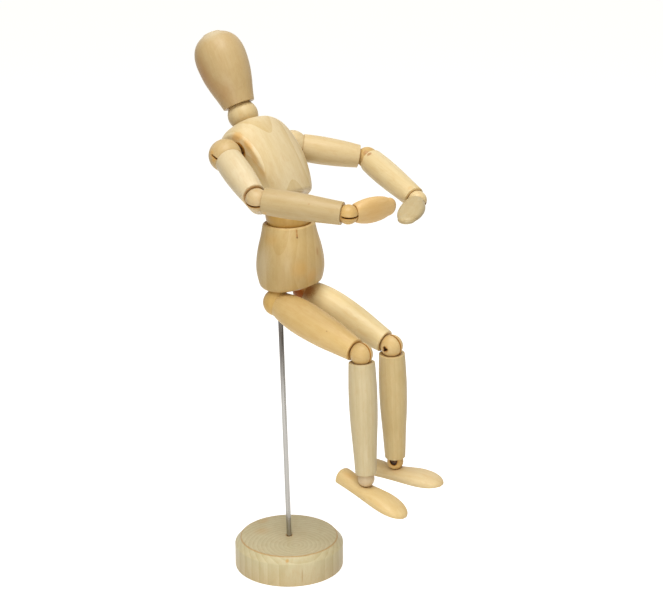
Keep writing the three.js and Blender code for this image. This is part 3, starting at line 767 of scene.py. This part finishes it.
def tongueRings(kind):
    # a flat steel blade with a round eye, and the pin through the eye
    half, eye = kind["kerfWidth"] * 0.36, kind["eyeRadius"]
    foot = kind["seatAfter"] + kind["tongueReach"]
    outline = [(eye * math.cos(math.pi * k / 16), eye * math.sin(math.pi * k / 16)) for k in range(17)]
    outline += [(-eye, -foot / 2), (-eye, -foot), (0, -foot), (eye, -foot), (eye, -foot / 2)]
    middle = -foot / 2
    blade = []
    for x, share in ((-half, 0), (-half, 0.97), (-half * 0.7, 1), (half * 0.7, 1), (half, 0.97), (half, 0)):
        if share:
            blade.append([(x, y * share, middle + (z - middle) * share, 0) for y, z in outline])
        else:
            blade.append([(x, 0, middle, 0)])
    reach, r, edge = kind["radius"] * 0.5, kind["pinRadius"], 0.1
    profile = [(0, -reach, 0), (r - edge, -reach, 0), (r, edge - reach, 0)]
    profile += [(radius, -height, 0) for radius, height, _ in reversed(profile)]
    pin = [[(z, y, x, stainAndShade) for x, y, z, stainAndShade in ring] for ring in turnedRings(profile, 24)]
    return [blade, pin]


for jointName in restBends:
    kind = kindOf(jointName)
    ball = jointName + "_ball"
    wood = makeWood(ball, kind["wood"])
    openPin = openPins.get(jointName)
    place = ballFrame(jointName)
    if openPin:
        place = place @ Matrix.Rotation(math.radians(openPin["turn"]), 4, "Z")
        place = place @ Matrix.Rotation(math.radians(openPin["tilt"]), 4, "Y")
    rings = ballRings(kind, bendWay(jointName), openPin)
    makePiece(ball + "_turned", [rings], place, wood, ball)
    blade, tongue = jointName + "_blade", jointName + "_tongue"
    makePiece(blade, tongueRings(kind), limbFrame(jointName), steel, tongue)
    stem = frame["nodes"][jointName + "_stem"].data.materials
    stem.clear()
    stem.append(steel)
print("balls and blades made")

# Round limbs: the outlines are (share of the length, share of the radius)

limbSizes = {
    "upper_arm": {
        "start": "shoulder", "end": "elbow", "length": 45, "radius": 8.3, "sides": 72, "wood": "paleWood",
        "outline": [(0, 0.97), (0.2, 1), (0.45, 0.99), (0.75, 0.92), (1, 0.82)],
    },
    "forearm": {
        "start": "elbow", "end": "wrist", "length": 52, "radius": 7.7, "sides": 72, "wood": "paleWood",
        "outline": [(0, 0.95), (0.1, 0.98), (0.28, 1), (0.52, 0.97), (0.78, 0.89), (1, 0.83)],
    },
    "thigh": {
        "start": "hip", "end": "knee", "length": 64.9, "radius": 10, "sides": 80, "wood": "warmWood",
        "outline": [(0, 0.77), (0.08, 0.88), (0.22, 0.98), (0.38, 1), (0.6, 0.94), (0.82, 0.8), (1, 0.67)],
    },
    "shin": {
        "start": "knee", "end": "ankle", "length": 73.4, "radius": 8.1, "sides": 72, "wood": "greyWood",
        "outline": [(0, 0.92), (0.1, 0.96), (0.28, 1), (0.5, 0.97), (0.75, 0.85), (1, 0.74)],
    },
}

for side in sides:
    for limbName, size in limbSizes.items():
        node = side + "_" + limbName
        rings = limbRings(size, ballKinds[size["start"]], ballKinds[size["end"]])
        wood = makeWood(node, size["wood"])
        place = limbFrame(side + "_" + size["start"])
        makePiece(node + "_turned", [rings], place, wood, node)
print("limbs made")

# Head

headSize = {
    "length": 51.4, "radius": 14.9, "sides": 96,
    "outline": [
        (0, 0.63), (0.12, 0.72), (0.27, 0.85), (0.42, 0.95), (0.56, 0.995), (0.67, 1), (0.77, 0.95),
        (0.86, 0.83), (0.93, 0.63), (0.98, 0.36), (1, 0),
    ],
}


def headRings(size, neck):
    # made upside down, as a limb that hangs from the neck ball and ends in a round crown
    top, bottom = -neck["seatAfter"], -size["length"]
    body = [(size["radius"] * r, between(top, bottom, s)) for s, r in size["outline"]]
    curve = smoothLine(body[:-1], 8)
    lastRadius, lastHeight = curve[-1]
    crown = []
    for k in range(1, 9):
        angle = math.pi / 2 * k / 8
        crown.append((lastRadius * math.cos(angle), between(lastHeight, bottom, math.sin(angle)), 0))
    upper = limbEnd(neck, neck["seatAfter"], neck["flareAfter"], curve[0][0], curve[1])
    middle = [(r, z, 0) for r, z in curve if z < upper[-1][1] - 0.05]
    return turnedRings(upper + middle + crown[:-1] + [(0, bottom, 0)], size["sides"])


head = headRings(headSize, ballKinds["neck"])
makePiece("head_turned", [head], limbFrame("neck"), makeWood("head", "paleWood"), "head")
print("head made")

# Pelvis and chest: the outlines are (share of the height, share of the half width, share of the half depth)

pelvisSize = {
    "halfWidth": 20.3, "halfDepth": 17.8, "height": 49.9, "exponent": 2.3, "edge": 1.1, "rowSteps": 7,
    "outline": [
        (0, 0.92, 0.65), (0.03, 0.95, 0.8), (0.08, 0.97, 0.9), (0.25, 1, 0.995), (0.42, 0.985, 1),
        (0.62, 0.91, 0.95), (0.82, 0.8, 0.86), (1, 0.71, 0.81),
    ],
}
chestSize = {
    "halfWidth": 26.2, "halfDepth": 18.2, "height": 63.8, "exponent": 2.3, "edge": 1.2, "rowSteps": 11,
    "bottomSeat": 7, "shoulderRise": 40.6, "shoulderSpacing": 59.8, "flatTilt": 5, "flatEdge": 0.7,
    "dish": {"radius": 25, "shift": (-1.4, -2), "gap": 0.24, "edge": 0.15, "stainAndShade": 0.35, "shadeWithDepth": 1.5},
    "outline": [
        (0, 0.67, 0.86), (0.06, 0.77, 0.92), (0.22, 0.9, 0.98), (0.45, 1, 1), (0.68, 0.98, 0.95),
        (0.85, 0.88, 0.86), (0.94, 0.73, 0.76), (1, 0.52, 0.63),
    ],
}
blockColumns = {"side": 24, "face": 26}   # in each quarter: across the flat side, and round the rest


def blockRing(size, z, halfWidth, halfDepth, stainAndShade=0):
    exponent = size["exponent"]
    wall = None
    if "flatTilt" in size:
        # the flat side, and the shallow dish in it round the shoulder ball, painted darker the deeper it goes:
        # painted shade round the ball
        rise, slope = z - size["shoulderRise"], math.tan(math.radians(size["flatTilt"]))
        half, shoulder, dish = size["shoulderSpacing"] / 2, ballKinds["shoulder"], size["dish"]
        wall = half - shoulder["seatBefore"] + rise * slope
    crease = 0
    if wall is not None and wall < halfWidth:
        crease = math.atan(((wall / halfWidth) ** -exponent - 1) ** (1 / exponent))
    quarter = [between(0, crease, k / blockColumns["side"]) for k in range(blockColumns["side"])]
    quarter += [between(crease, math.pi / 2, k / blockColumns["face"]) for k in range(blockColumns["face"])]
    angles = quarter + [math.pi - a for a in [math.pi / 2] + quarter[:0:-1]]
    angles += [math.pi + a for a in angles]
    points = []
    for angle in angles:
        c, s = math.cos(angle), math.sin(angle)
        reach = (abs(c) ** exponent + abs(s) ** exponent) ** (-1 / exponent)
        x, y, mark = halfWidth * reach * abs(c), halfDepth * reach * s, stainAndShade
        if wall is not None:
            x = softMin(x, wall, size["flatEdge"])
            forward, up = dish["shift"]
            off = dish["radius"] ** 2 - (y - forward) ** 2 - (rise - up) ** 2
            if off > 0:
                bottom = half + dish["radius"] - shoulder["radius"] - dish["gap"] - math.sqrt(off)
                # inside the dish: painted shade, darker with depth
                if bottom < x:
                    mark = min(1, stainAndShade + dish["stainAndShade"] + (x - bottom) * dish["shadeWithDepth"])
                x = softMin(x, bottom, dish["edge"])
        points.append((math.copysign(x, c), y, z, mark))
    return points


def blockRings(size, bottomSeat, topSeat, bottomBall=None, topBall=None):
    low, high, edge = bottomSeat, size["height"] - topSeat, size["edge"]
    width, depth = size["halfWidth"], size["halfDepth"]
    rows = [(between(low, high, s), width * w, depth * d) for s, w, d in size["outline"]]
    curve = smoothLine(rows, size["rowSteps"])

    def rowAt(z, inset):
        for a, b in zip(curve, curve[1:]):
            if a[0] <= z <= b[0]:
                share = (z - a[0]) / (b[0] - a[0])
                return between(a[1], b[1], share) - inset, between(a[2], b[2], share) - inset
        return curve[-1][1] - inset, curve[-1][2] - inset

    def endFace(z, ring, ball, up):
        # from the edge of the flat end in to the ball's seat
        if not ball:
            rings = []
            for share in (0.97, 0.7, 0.35):
                rings.append([(x * share, y * share, z, 0) for x, y, _, _ in ring])
            return rings + [[(0, 0, z, 0)]]
        seat = topSeat if up > 0 else bottomSeat
        profile = seatProfile(ball, seat, ball["flareBefore"] if up > 0 else ball["flareAfter"])
        rim = profile[-1][0]
        centre = z + up * seat
        rings = []
        for share, stainAndShade in ((0.4, 0), (0.8, 0), (0.97, 0.02)):
            points = []
            for x, y, _, _ in ring:
                length = math.hypot(x, y)
                reach = between(length, rim, share)
                points.append((x / length * reach, y / length * reach, z, stainAndShade))
            rings.append(points)
        ways = [(x / math.hypot(x, y), y / math.hypot(x, y)) for x, y, _, _ in ring]
        for r, h, stainAndShade in reversed(profile[1:]):
            rings.append([(x * r, y * r, centre + up * h, stainAndShade) for x, y in ways])
        return rings + [[(0, 0, centre + up * profile[0][1], 1)]]

    def rimRings(z, up):
        rings = []
        for k in range(1, 6):
            near = edge * (k / 5) ** 2
            inset = edge - math.sqrt(edge ** 2 - (edge - near) ** 2)
            rings.append(blockRing(size, z - up * near, *rowAt(z - up * near, inset)))
        return rings

    body = [blockRing(size, z, w, d) for z, w, d in curve if low + edge * 1.1 < z < high - edge * 1.1]
    bottomRing = blockRing(size, low, *rowAt(low, edge))
    topRing = blockRing(size, high, *rowAt(high, edge))
    lowEnd = list(reversed(endFace(low, bottomRing, bottomBall, -1))) + [bottomRing] + rimRings(low, -1)
    highEnd = list(reversed(rimRings(high, 1))) + [topRing] + endFace(high, topRing, topBall, 1)
    return lowEnd + body + highEnd


waist, neck, hip = ballKinds["waist"], ballKinds["neck"], ballKinds["hip"]
hips = posOf("right_hip_turn"), posOf("left_hip_turn")
hipMiddle = (hips[0] + hips[1]) / 2
pelvisFrame = standingFrame(hipMiddle, posOf("waist_turn") - hipMiddle, hips[1] - hips[0])
pelvis = blockRings(pelvisSize, hip["seatBefore"], waist["seatBefore"], None, waist)
makePiece("pelvis_carved", [pelvis], pelvisFrame, makeWood("pelvis", "paleWood"), "pelvis")

shoulders = posOf("right_shoulder_turn"), posOf("left_shoulder_turn")
chestStart = posOf("waist_bend")
chestFrame = standingFrame(chestStart, posOf("neck_turn") - chestStart, shoulders[1] - shoulders[0])
chest = blockRings(chestSize, chestSize["bottomSeat"], neck["seatBefore"], waist, neck)
makePiece("chest_carved", [chest], chestFrame, makeWood("chest", "paleWood"), "chest")
print("pelvis and chest made")

# Hands: the outline is (share of the length, share of the half width, share of the half thickness)

handSize = {
    "length": 29.8, "halfWidth": 7.3, "halfThickness": 4.6, "exponent": 2.2, "edge": 0.35, "tipSteps": 12,
    "outline": [
        (0, 0.7, 1), (0.1, 0.85, 0.98), (0.25, 0.98, 0.92), (0.4, 1.03, 0.86), (0.56, 1, 0.77),
        (0.7, 0.9, 0.66), (0.82, 0.73, 0.54),
    ],
    "roll": {"right": 0, "left": -75}, "lean": {"right": 0, "left": -10},
}


def handRings(size, wrist):
    top, bottom = -wrist["seatAfter"], -size["length"]
    width, thickness = size["halfWidth"], size["halfThickness"]
    rows = [(between(top, bottom, s), width * w, thickness * t) for s, w, t in size["outline"]]
    curve = smoothLine(rows, 6)
    cup = wrist["radius"] + cupGap
    rim = math.sqrt(cup ** 2 - wrist["seatAfter"] ** 2)
    root = blockRing(size, top, curve[0][1], curve[0][2])
    # The wrist's cup is painted dark inside: painted shade round the ball
    rings = [[(0, 0, -cup, 1)]]
    for k in range(1, 9):
        points = []
        for x, y, _, _ in root:
            length = math.hypot(x, y)
            reach = min(rim * k / 8, (length - 0.3) * k / 8)
            deep = -math.sqrt(cup ** 2 - reach ** 2)
            points.append((x / length * reach, y / length * reach, deep, 0 if k == 8 else 0.7))
        rings.append(points)
    edge = size["edge"]
    rings.append(blockRing(size, top, curve[0][1] - edge, curve[0][2] - edge))
    rings.append(blockRing(size, top - edge * 0.3, curve[0][1] - edge * 0.3, curve[0][2] - edge * 0.3))
    rings += [blockRing(size, z, w, d) for z, w, d in curve if z < top - edge]
    z, w, d = curve[-1]
    for k in range(1, size["tipSteps"]):
        angle = math.pi / 2 * k / size["tipSteps"]
        narrow, low = math.cos(angle), between(z, bottom, math.sin(angle))
        rings.append(blockRing(size, low, w * narrow, d * narrow ** 0.9))
    rings.append([(0, 0, bottom, 0)])
    return rings


# Feet: the outline is (share of the length from the heel, half width, height of the upper side)

footSize = {
    "heel": 17.8, "toe": 30.9, "soleDrop": 10.7, "points": 64,
    "middle": 0.4, "upperPower": 2.3, "solePower": 3.4,       # of a section
    "toeRise": 2.4, "riseFrom": 0.55, "risePower": 2.2,       # of the sole's edge
    "outline": [
        (0, 4.9, 8.2), (0.012, 5.3, 8.7), (0.05, 5.5, 8.9), (0.13, 5.6, 8.4), (0.25, 5.8, 7.2),
        (0.38, 6.4, 6.9), (0.54, 7.5, 7.3), (0.67, 8.2, 7.5), (0.8, 8.1, 6.8), (0.89, 7.1, 5.6),
        (0.95, 5.5, 4.4), (0.985, 3.6, 3.4), (1, 2, 2.6),
    ],
}


def footRings(size, ankle):
    length = size["heel"] + size["toe"]
    curve = smoothLine([(size["heel"] - length * s, w, h) for s, w, h in size["outline"]], 6)
    cup = ankle["radius"] + cupGap

    def section(y, halfWidth, tall, shrink=1.0):
        points = []
        middle = tall * size["middle"]
        ahead = max(0, (-y / size["toe"] - size["riseFrom"]) / (1 - size["riseFrom"]))
        lift = size["toeRise"] * ahead ** size["risePower"]
        for i in range(size["points"]):
            angle = 2 * math.pi * i / size["points"]
            c, s = math.cos(angle), math.sin(angle)
            power = size["upperPower"] if s > 0 else size["solePower"]
            reach = (abs(c) ** power + abs(s) ** power) ** (-1 / power) * shrink
            up = (tall - middle) if s > 0 else middle
            x, z, stainAndShade = halfWidth * reach * c, -size["soleDrop"] + middle + up * reach * s, 0
            if s < 0:
                z += lift * -s * 0.5
            # where the ankle's cup dips into the upper side: painted shade round the ball
            off = cup ** 2 - x * x - y * y
            if off > 0 and s > 0 and z > -math.sqrt(off):
                stainAndShade = 0.6
                z = softMin(z, -math.sqrt(off), 0.1)
            points.append((x, y, z, stainAndShade))
        return points

    rings = []
    y, w, h = curve[0]
    rings.append([(0, y + 0.25, -size["soleDrop"] + h * 0.45, 0)])
    for share, back in ((0.5, 0.25), (0.85, 0.22), (0.95, 0.12)):
        rings.append(section(y + back - 0.25, w, h, share))
    rings += [section(y - 0.25, w, h) for y, w, h in curve]
    y, w, h = curve[-1]
    rings.append(section(y - 0.5, w * 0.7, h * 0.95, 0.75))
    rings.append([(0, y - 0.65, -size["soleDrop"] + h * 0.55, 0)])
    return rings


for side in sides:
    hand, foot = side + "_hand", side + "_foot"
    place = limbFrame(side + "_wrist", handSize["roll"][side])
    place = place @ Matrix.Rotation(math.radians(handSize["lean"][side]), 4, "Y")
    rings = handRings(handSize, ballKinds["wrist"])
    makePiece(hand + "_carved", [rings], place, makeWood(hand, "paleWood"), hand)
    rings = footRings(footSize, ballKinds["ankle"])
    wood = makeWood(foot, "warmWood")
    makePiece(foot + "_carved", [rings], limbFrame(side + "_ankle"), wood, foot, grainAlong="Y")
print("hands and feet made")

# Stand

standSize = {
    "radius": 33, "height": 18.5, "chamferWidth": 3.5, "chamferHeight": 3.9, "hole": 1.75, "holeDepth": 12.5,
    "rodRadius": 1.5, "rodBelow": 167.1, "rodAbove": 21.8,
}


def baseRings(size):
    r, h, floor = size["radius"], size["height"], size["height"] - size["holeDepth"]
    corners = [(0, floor), (size["hole"], floor), (size["hole"], h), (r - size["chamferWidth"], h)]
    corners += [(r, h - size["chamferHeight"]), (r, 0), (0, 0)]
    # The rod's hole is painted nearly black inside: painted shade in the gap round the rod
    profile = [(*corners[0], 1), (*corners[1], 1), (size["hole"], h - 0.6, 0.8)]
    for k, stainAndShade, edge in ((2, 0.3, 0.15), (3, 0.26, 0.25), (4, 0, 0.3), (5, 0.1, 0.8)):
        rounded = roundedCorner(corners[k - 1], corners[k], corners[k + 1], edge)
        if k == 3:
            profile += [(size["hole"] + 0.9, h, 0.05)]
            profile += [(size["radius"] * 0.5, h, 0), (rounded[0][0] - 0.4, h, 0.02)]
        profile += [(a, b, stainAndShade) for a, b in rounded]
        if k == 3:
            a, b = rounded[-1]
            profile += [(a + 0.35, b - 0.4, 0)]
    profile.append((*corners[-1], 0))
    return turnedRings(profile, 160)


def rodRings(size):
    r, low, high, edge = size["rodRadius"], -size["rodBelow"], size["rodAbove"], 0.3
    profile = [(0, low, 0), (r - edge, low, 0), (r, low + edge, 0)]
    profile += [(r, between(low + edge, high - edge, k / 24), 0) for k in range(1, 24)]
    profile += [(r, high - edge, 0), (r - edge, high, 0), (0, high, 0)]
    return turnedRings(profile, 48)


baseWood = makeWood("base_disc", "greyWood")
makePiece("base_turned", [baseRings(standSize)], Matrix.Identity(4), baseWood, "base_disc")
swivel = joints["pelvis_swivel"]
rodFrame = standingFrame(Vector(swivel["pos_m"]), Vector(swivel["axis"]), Vector((1, 0, 0)))
makePiece("rod_polished", [rodRings(standSize)], rodFrame, steel, "support_rod")
print("stand made")

# Floor, lamps and surroundings

stageLook = {
    "floorColour": (0.8, 0.8, 0.8, 1), "floorGlow": 0.78, "floorSize": 8,
    "surround": 0.29, "ambient": (1, 0.91, 0.76, 1),
}
lamps = {
    "overhead": {"place": (-200, -150, 1000), "aim": (0, 0, 200), "size": 620, "power": 6.5},
    "lowPanel": {"place": (-450, -340, 190), "aim": (0, 0, 90), "size": 300, "power": 1.1},
}


def backgroundRays(tree):
    # 1 for rays that show the background, also in a reflection
    path = addNode(tree, "LightPath").outputs
    seen = mathNode(tree, "MAXIMUM", path["Is Camera Ray"], path["Is Glossy Ray"])
    return mathNode(tree, "MAXIMUM", seen, path["Is Transmission Ray"])


def makeFloor(look):
    bm = bmesh.new()
    justBelow = Matrix.Translation((0, 0, -0.0001))
    bmesh.ops.create_grid(bm, x_segments=1, y_segments=1, size=look["floorSize"] / 2, matrix=justBelow)
    mesh = bpy.data.meshes.new("floor")
    bm.to_mesh(mesh)
    bm.free()
    material = bpy.data.materials.new("paleFloor")
    material.use_nodes = True
    tree = material.node_tree
    shader = tree.nodes["Principled BSDF"]
    shader.inputs["Base Color"].default_value = look["floorColour"]
    shader.inputs["Roughness"].default_value = 0.9
    shader.inputs["Specular IOR Level"].default_value = 0
    glow = (look["floorGlow"],) * 3 + (1,)
    tree.links.new(mixNode(tree, backgroundRays(tree), (0, 0, 0, 1), glow), shader.inputs["Emission Color"])
    shader.inputs["Emission Strength"].default_value = 1
    mesh.materials.append(material)
    floor = bpy.data.objects.new("floor", mesh)
    bpy.context.scene.collection.objects.link(floor)


def makeLamp(name, lamp):
    data = bpy.data.lights.new(name, "AREA")
    data.shape = "DISK"
    data.size = lamp["size"] * mm
    data.energy = lamp["power"]
    item = bpy.data.objects.new(name, data)
    item.location = Vector(lamp["place"]) * mm
    item.rotation_mode = "QUATERNION"
    item.rotation_quaternion = (Vector(lamp["aim"]) - Vector(lamp["place"])).to_track_quat("-Z", "Y")
    bpy.context.scene.collection.objects.link(item)


def makeSurround(look):
    world = bpy.data.worlds.new("studio")
    bpy.context.scene.world = world
    world.use_nodes = True
    tree = world.node_tree
    background = tree.nodes["Background"]
    seen = backgroundRays(tree)
    tree.links.new(rangeNode(tree, seen, 0, 1, look["surround"], 1), background.inputs["Strength"])
    tree.links.new(mixNode(tree, seen, look["ambient"], (1, 1, 1, 1)), background.inputs["Color"])


makeFloor(stageLook)
for name, lamp in lamps.items():
    makeLamp(name, lamp)
makeSurround(stageLook)
bpy.context.scene.view_settings.view_transform = "Standard"
print("stage and light made")

bpy.context.view_layer.update()
